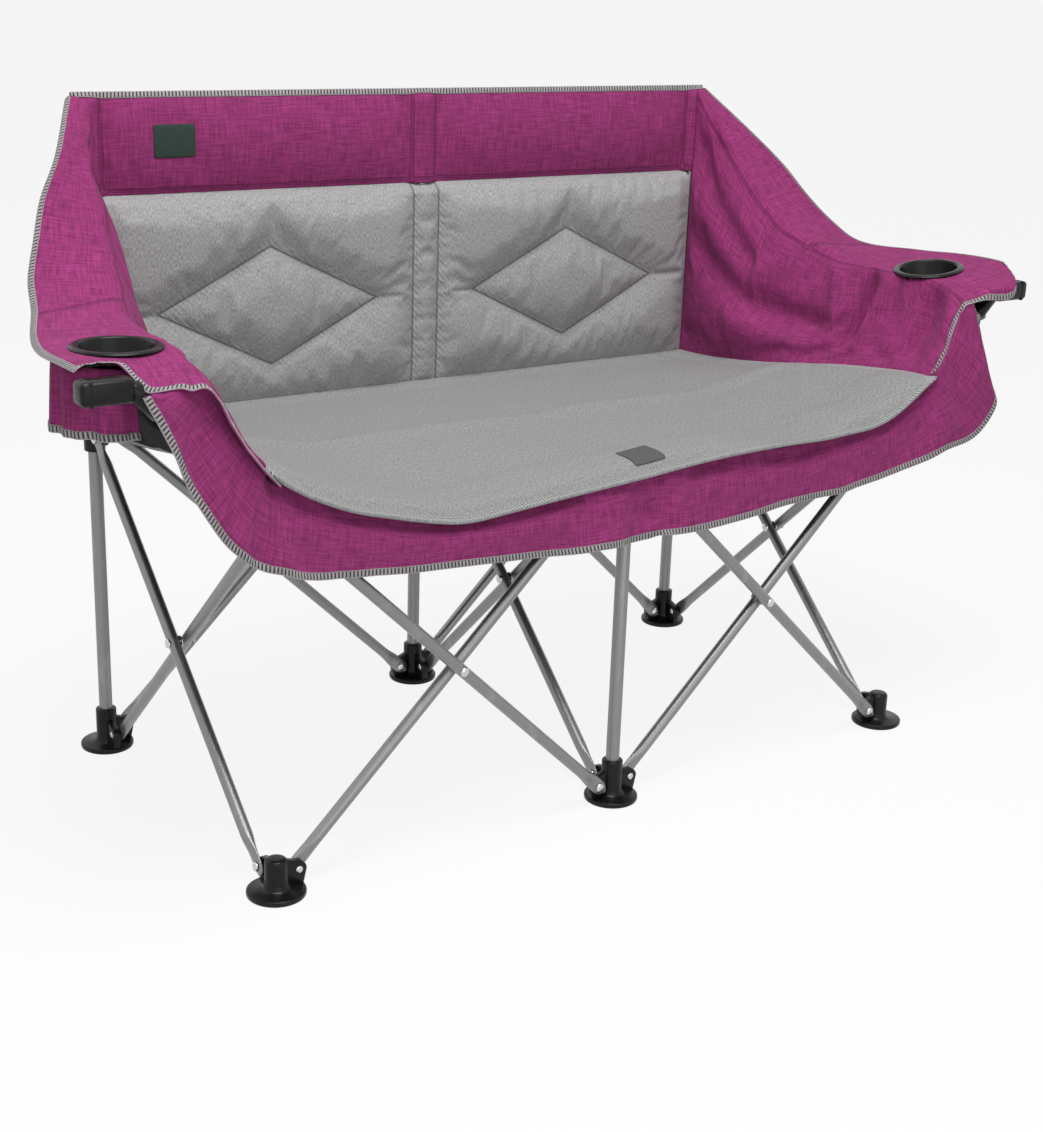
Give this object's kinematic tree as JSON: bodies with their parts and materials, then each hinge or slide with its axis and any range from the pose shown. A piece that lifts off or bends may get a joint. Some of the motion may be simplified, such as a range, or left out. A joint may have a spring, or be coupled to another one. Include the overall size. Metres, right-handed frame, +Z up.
{
  "type": "folding camping loveseat",
  "caption": "Folding double camp chair: scissor frame of grey steel tube under a padded magenta and grey fabric cover with arms, cup holders, a quilted back and a front skirt.",
  "frame": {"origin": "on the floor at the middle of the rectangle of feet", "axes": "+X to the right as seen from the front, +Y towards the back, +Z up; the sitters face -Y"},
  "size_m": [1.53, 0.606, 0.9363],
  "materials": {
    "steel_tube": "satin grey coated steel tube",
    "bare_steel": "bare steel rivets and rod",
    "black_plastic": "black moulded plastic with a fine grain",
    "magenta_cloth": "magenta melange woven cloth",
    "grey_fleece": "grey brushed fleece, padded",
    "black_cloth": "black woven cloth"
  },
  "bodies": {
    "rear_middle": {"rear_middle_foot": "black_plastic", "rear_middle_post": "steel_tube", "rear_middle_post_plug": "black_plastic", "back_band": "magenta_cloth", "back_pad": "grey_fleece"},
    "middle_tube_rising_forward": {"middle_tube_rising_forward": "steel_tube", "middle_rivet": "bare_steel"},
    "middle_tube_rising_back": {"middle_tube_rising_back": "steel_tube"},
    "front_middle": {"front_middle_foot": "black_plastic", "front_middle_post": "steel_tube"},
    "front_middle_hub": {"front_middle_hub": "black_plastic", "front_middle_rod": "bare_steel", "front_skirt": "magenta_cloth"},
    "back_left_tube_rising_left": {"back_left_tube_rising_left": "steel_tube", "back_left_rivet": "bare_steel"},
    "back_left_tube_rising_right": {"back_left_tube_rising_right": "steel_tube"},
    "rear_left": {"rear_left_foot": "black_plastic", "rear_left_post": "steel_tube", "rear_left_post_plug": "black_plastic"},
    "rear_left_slider": {"rear_left_slider": "black_plastic"},
    "rear_middle_slider": {"rear_middle_slider": "black_plastic"},
    "left_arm_tube": {"left_arm_tube": "steel_tube", "left_arm_cap": "black_plastic", "front_left_rivet": "bare_steel"},
    "front_left_tube": {"front_left_tube": "steel_tube"},
    "front_left": {"front_left_foot": "black_plastic"},
    "front_left_bracket": {"front_left_bracket": "black_plastic"},
    "left_side_tube_rising_forward": {"left_side_tube_rising_forward": "steel_tube", "left_side_rivet": "bare_steel"},
    "left_side_tube_rising_back": {"left_side_tube_rising_back": "steel_tube"},
    "left_arm": {"left_arm_cover": "magenta_cloth", "left_side_flap": "magenta_cloth", "left_side_panel": "black_cloth", "left_cup_holder": "black_plastic"},
    "back_right_tube_rising_right": {"back_right_tube_rising_right": "steel_tube", "back_right_rivet": "bare_steel"},
    "back_right_tube_rising_left": {"back_right_tube_rising_left": "steel_tube"},
    "rear_right": {"rear_right_foot": "black_plastic", "rear_right_post": "steel_tube", "rear_right_post_plug": "black_plastic"},
    "rear_right_slider": {"rear_right_slider": "black_plastic"},
    "right_arm_tube": {"right_arm_tube": "steel_tube", "right_arm_cap": "black_plastic", "front_right_rivet": "bare_steel"},
    "front_right_tube": {"front_right_tube": "steel_tube"},
    "front_right": {"front_right_foot": "black_plastic"},
    "front_right_bracket": {"front_right_bracket": "black_plastic"},
    "right_side_tube_rising_forward": {"right_side_tube_rising_forward": "steel_tube", "right_side_rivet": "bare_steel"},
    "right_side_tube_rising_back": {"right_side_tube_rising_back": "steel_tube"},
    "right_arm": {"right_arm_cover": "magenta_cloth", "right_side_flap": "magenta_cloth", "right_side_panel": "black_cloth", "right_cup_holder": "black_plastic"},
    "seat_rear": {"seat_rear": "grey_fleece"},
    "seat_front": {"seat_front": "grey_fleece"}
  },
  "joints": [
    {"name": "fold", "type": "hinge", "parent": "rear_middle", "child": "middle_tube_rising_forward", "pos_m": [0, 0.235, 0.028], "axis": [-1, 0, 0], "range_deg": [0, 40.29], "deforming": ["back_band", "back_pad", "seat_rear", "seat_front", "front_skirt", "left_arm_cover", "left_side_flap", "left_side_panel", "right_arm_cover", "right_side_flap", "right_side_panel"]},
    {"name": "middle_crossing", "type": "hinge", "parent": "middle_tube_rising_forward", "child": "middle_tube_rising_back", "pos_m": [0, 0, 0.251], "axis": [1, 0, 0], "range_deg": [0, 80.63]},
    {"name": "front_middle_foot_pivot", "type": "hinge", "parent": "middle_tube_rising_back", "child": "front_middle", "pos_m": [0, -0.235, 0.028], "axis": [-1, 0, 0], "range_deg": [0, 40.34]},
    {"name": "front_middle_hub_pivot", "type": "hinge", "parent": "middle_tube_rising_forward", "child": "front_middle_hub", "pos_m": [0, -0.235, 0.474], "axis": [1, 0, 0], "range_deg": [0, 40.34]},
    {"name": "back_left_foot_pivot", "type": "hinge", "parent": "rear_middle", "child": "back_left_tube_rising_left", "pos_m": [-0.03, 0.265, 0.028], "axis": [0, 1, 0], "range_deg": [0, 40.34]},
    {"name": "back_left_crossing", "type": "hinge", "parent": "back_left_tube_rising_left", "child": "back_left_tube_rising_right", "pos_m": [-0.265, 0.265, 0.251], "axis": [0, -1, 0], "range_deg": [0, 80.63]},
    {"name": "rear_left_foot_pivot", "type": "hinge", "parent": "back_left_tube_rising_right", "child": "rear_left", "pos_m": [-0.5, 0.265, 0.028], "axis": [0, 1, 0], "range_deg": [0, 40.34]},
    {"name": "rear_left_slider_pivot", "type": "hinge", "parent": "back_left_tube_rising_left", "child": "rear_left_slider", "pos_m": [-0.5, 0.265, 0.474], "axis": [0, -1, 0], "range_deg": [0, 40.34]},
    {"name": "rear_middle_slider_pivot", "type": "hinge", "parent": "back_left_tube_rising_right", "child": "rear_middle_slider", "pos_m": [-0.03, 0.265, 0.474], "axis": [0, 1, 0], "range_deg": [0, 40.34]},
    {"name": "left_arm_tube_pivot", "type": "hinge", "parent": "front_middle", "child": "left_arm_tube", "pos_m": [-0.03, -0.265, 0.028], "axis": [0, 1, 0], "range_deg": [0, 40.34]},
    {"name": "front_left_crossing", "type": "hinge", "parent": "left_arm_tube", "child": "front_left_tube", "pos_m": [-0.265, -0.265, 0.251], "axis": [0, -1, 0], "range_deg": [0, 80.63]},
    {"name": "front_left_foot_pivot", "type": "hinge", "parent": "front_left_tube", "child": "front_left", "pos_m": [-0.5, -0.265, 0.028], "axis": [0, 1, 0], "range_deg": [0, 40.34]},
    {"name": "front_left_bracket_pivot", "type": "hinge", "parent": "left_arm_tube", "child": "front_left_bracket", "pos_m": [-0.5, -0.265, 0.474], "axis": [0, -1, 0], "range_deg": [0, 40.34]},
    {"name": "left_side_foot_pivot", "type": "hinge", "parent": "rear_left", "child": "left_side_tube_rising_forward", "pos_m": [-0.53, 0.235, 0.028], "axis": [-1, 0, 0], "range_deg": [0, 40.34]},
    {"name": "left_side_crossing", "type": "hinge", "parent": "left_side_tube_rising_forward", "child": "left_side_tube_rising_back", "pos_m": [-0.53, 0, 0.251], "axis": [1, 0, 0], "range_deg": [0, 80.63]},
    {"name": "left_arm_gather", "type": "slide", "parent": "rear_left", "child": "left_arm", "axis": [0.1586, 0.8385, 0.5212], "range_m": [0, 0.4417]},
    {"name": "back_right_foot_pivot", "type": "hinge", "parent": "rear_middle", "child": "back_right_tube_rising_right", "pos_m": [0.03, 0.265, 0.028], "axis": [0, -1, 0], "range_deg": [0, 40.34]},
    {"name": "back_right_crossing", "type": "hinge", "parent": "back_right_tube_rising_right", "child": "back_right_tube_rising_left", "pos_m": [0.265, 0.265, 0.251], "axis": [0, 1, 0], "range_deg": [0, 80.63]},
    {"name": "rear_right_foot_pivot", "type": "hinge", "parent": "back_right_tube_rising_left", "child": "rear_right", "pos_m": [0.5, 0.265, 0.028], "axis": [0, -1, 0], "range_deg": [0, 40.34]},
    {"name": "rear_right_slider_pivot", "type": "hinge", "parent": "back_right_tube_rising_right", "child": "rear_right_slider", "pos_m": [0.5, 0.265, 0.474], "axis": [0, 1, 0], "range_deg": [0, 40.34]},
    {"name": "right_arm_tube_pivot", "type": "hinge", "parent": "front_middle", "child": "right_arm_tube", "pos_m": [0.03, -0.265, 0.028], "axis": [0, -1, 0], "range_deg": [0, 40.34]},
    {"name": "front_right_crossing", "type": "hinge", "parent": "right_arm_tube", "child": "front_right_tube", "pos_m": [0.265, -0.265, 0.251], "axis": [0, 1, 0], "range_deg": [0, 80.63]},
    {"name": "front_right_foot_pivot", "type": "hinge", "parent": "front_right_tube", "child": "front_right", "pos_m": [0.5, -0.265, 0.028], "axis": [0, -1, 0], "range_deg": [0, 40.34]},
    {"name": "front_right_bracket_pivot", "type": "hinge", "parent": "right_arm_tube", "child": "front_right_bracket", "pos_m": [0.5, -0.265, 0.474], "axis": [0, 1, 0], "range_deg": [0, 40.34]},
    {"name": "right_side_foot_pivot", "type": "hinge", "parent": "rear_right", "child": "right_side_tube_rising_forward", "pos_m": [0.53, 0.235, 0.028], "axis": [-1, 0, 0], "range_deg": [0, 40.34]},
    {"name": "right_side_crossing", "type": "hinge", "parent": "right_side_tube_rising_forward", "child": "right_side_tube_rising_back", "pos_m": [0.53, 0, 0.251], "axis": [1, 0, 0], "range_deg": [0, 80.63]},
    {"name": "right_arm_gather", "type": "slide", "parent": "rear_right", "child": "right_arm", "axis": [-0.1586, 0.8385, 0.5212], "range_m": [0, 0.4417]},
    {"name": "seat_rear_hang", "type": "hinge", "parent": "rear_middle_slider", "child": "seat_rear", "pos_m": [0, 0.237, 0.49], "axis": [1, 0, 0], "range_deg": [0, 77.03]},
    {"name": "seat_front_hang", "type": "hinge", "parent": "front_middle_hub", "child": "seat_front", "pos_m": [0, -0.29, 0.49], "axis": [-1, 0, 0], "range_deg": [0, 77.03]}
  ],
  "couplings": [
    {"joint": "middle_crossing", "follows": "fold", "ratio": 2},
    {"joint": "front_middle_foot_pivot", "follows": "fold", "ratio": 1},
    {"joint": "front_middle_hub_pivot", "follows": "fold", "ratio": 1},
    {"joint": "back_left_foot_pivot", "follows": "fold", "ratio": 1},
    {"joint": "back_left_crossing", "follows": "fold", "ratio": 2},
    {"joint": "rear_left_foot_pivot", "follows": "fold", "ratio": 1},
    {"joint": "rear_left_slider_pivot", "follows": "fold", "ratio": 1},
    {"joint": "rear_middle_slider_pivot", "follows": "fold", "ratio": 1},
    {"joint": "left_arm_tube_pivot", "follows": "fold", "ratio": 1},
    {"joint": "front_left_crossing", "follows": "fold", "ratio": 2},
    {"joint": "front_left_foot_pivot", "follows": "fold", "ratio": 1},
    {"joint": "front_left_bracket_pivot", "follows": "fold", "ratio": 1},
    {"joint": "left_side_foot_pivot", "follows": "fold", "ratio": 1},
    {"joint": "left_side_crossing", "follows": "fold", "ratio": 2},
    {"joint": "left_arm_gather", "follows": "fold", "m_per_rad": 0.62742},
    {"joint": "back_right_foot_pivot", "follows": "fold", "ratio": 1},
    {"joint": "back_right_crossing", "follows": "fold", "ratio": 2},
    {"joint": "rear_right_foot_pivot", "follows": "fold", "ratio": 1},
    {"joint": "rear_right_slider_pivot", "follows": "fold", "ratio": 1},
    {"joint": "right_arm_tube_pivot", "follows": "fold", "ratio": 1},
    {"joint": "front_right_crossing", "follows": "fold", "ratio": 2},
    {"joint": "front_right_foot_pivot", "follows": "fold", "ratio": 1},
    {"joint": "front_right_bracket_pivot", "follows": "fold", "ratio": 1},
    {"joint": "right_side_foot_pivot", "follows": "fold", "ratio": 1},
    {"joint": "right_side_crossing", "follows": "fold", "ratio": 2},
    {"joint": "right_arm_gather", "follows": "fold", "m_per_rad": 0.62742},
    {"joint": "seat_rear_hang", "follows": "fold", "ratio": 1.9107},
    {"joint": "seat_front_hang", "follows": "fold", "ratio": 1.9107}
  ]
}
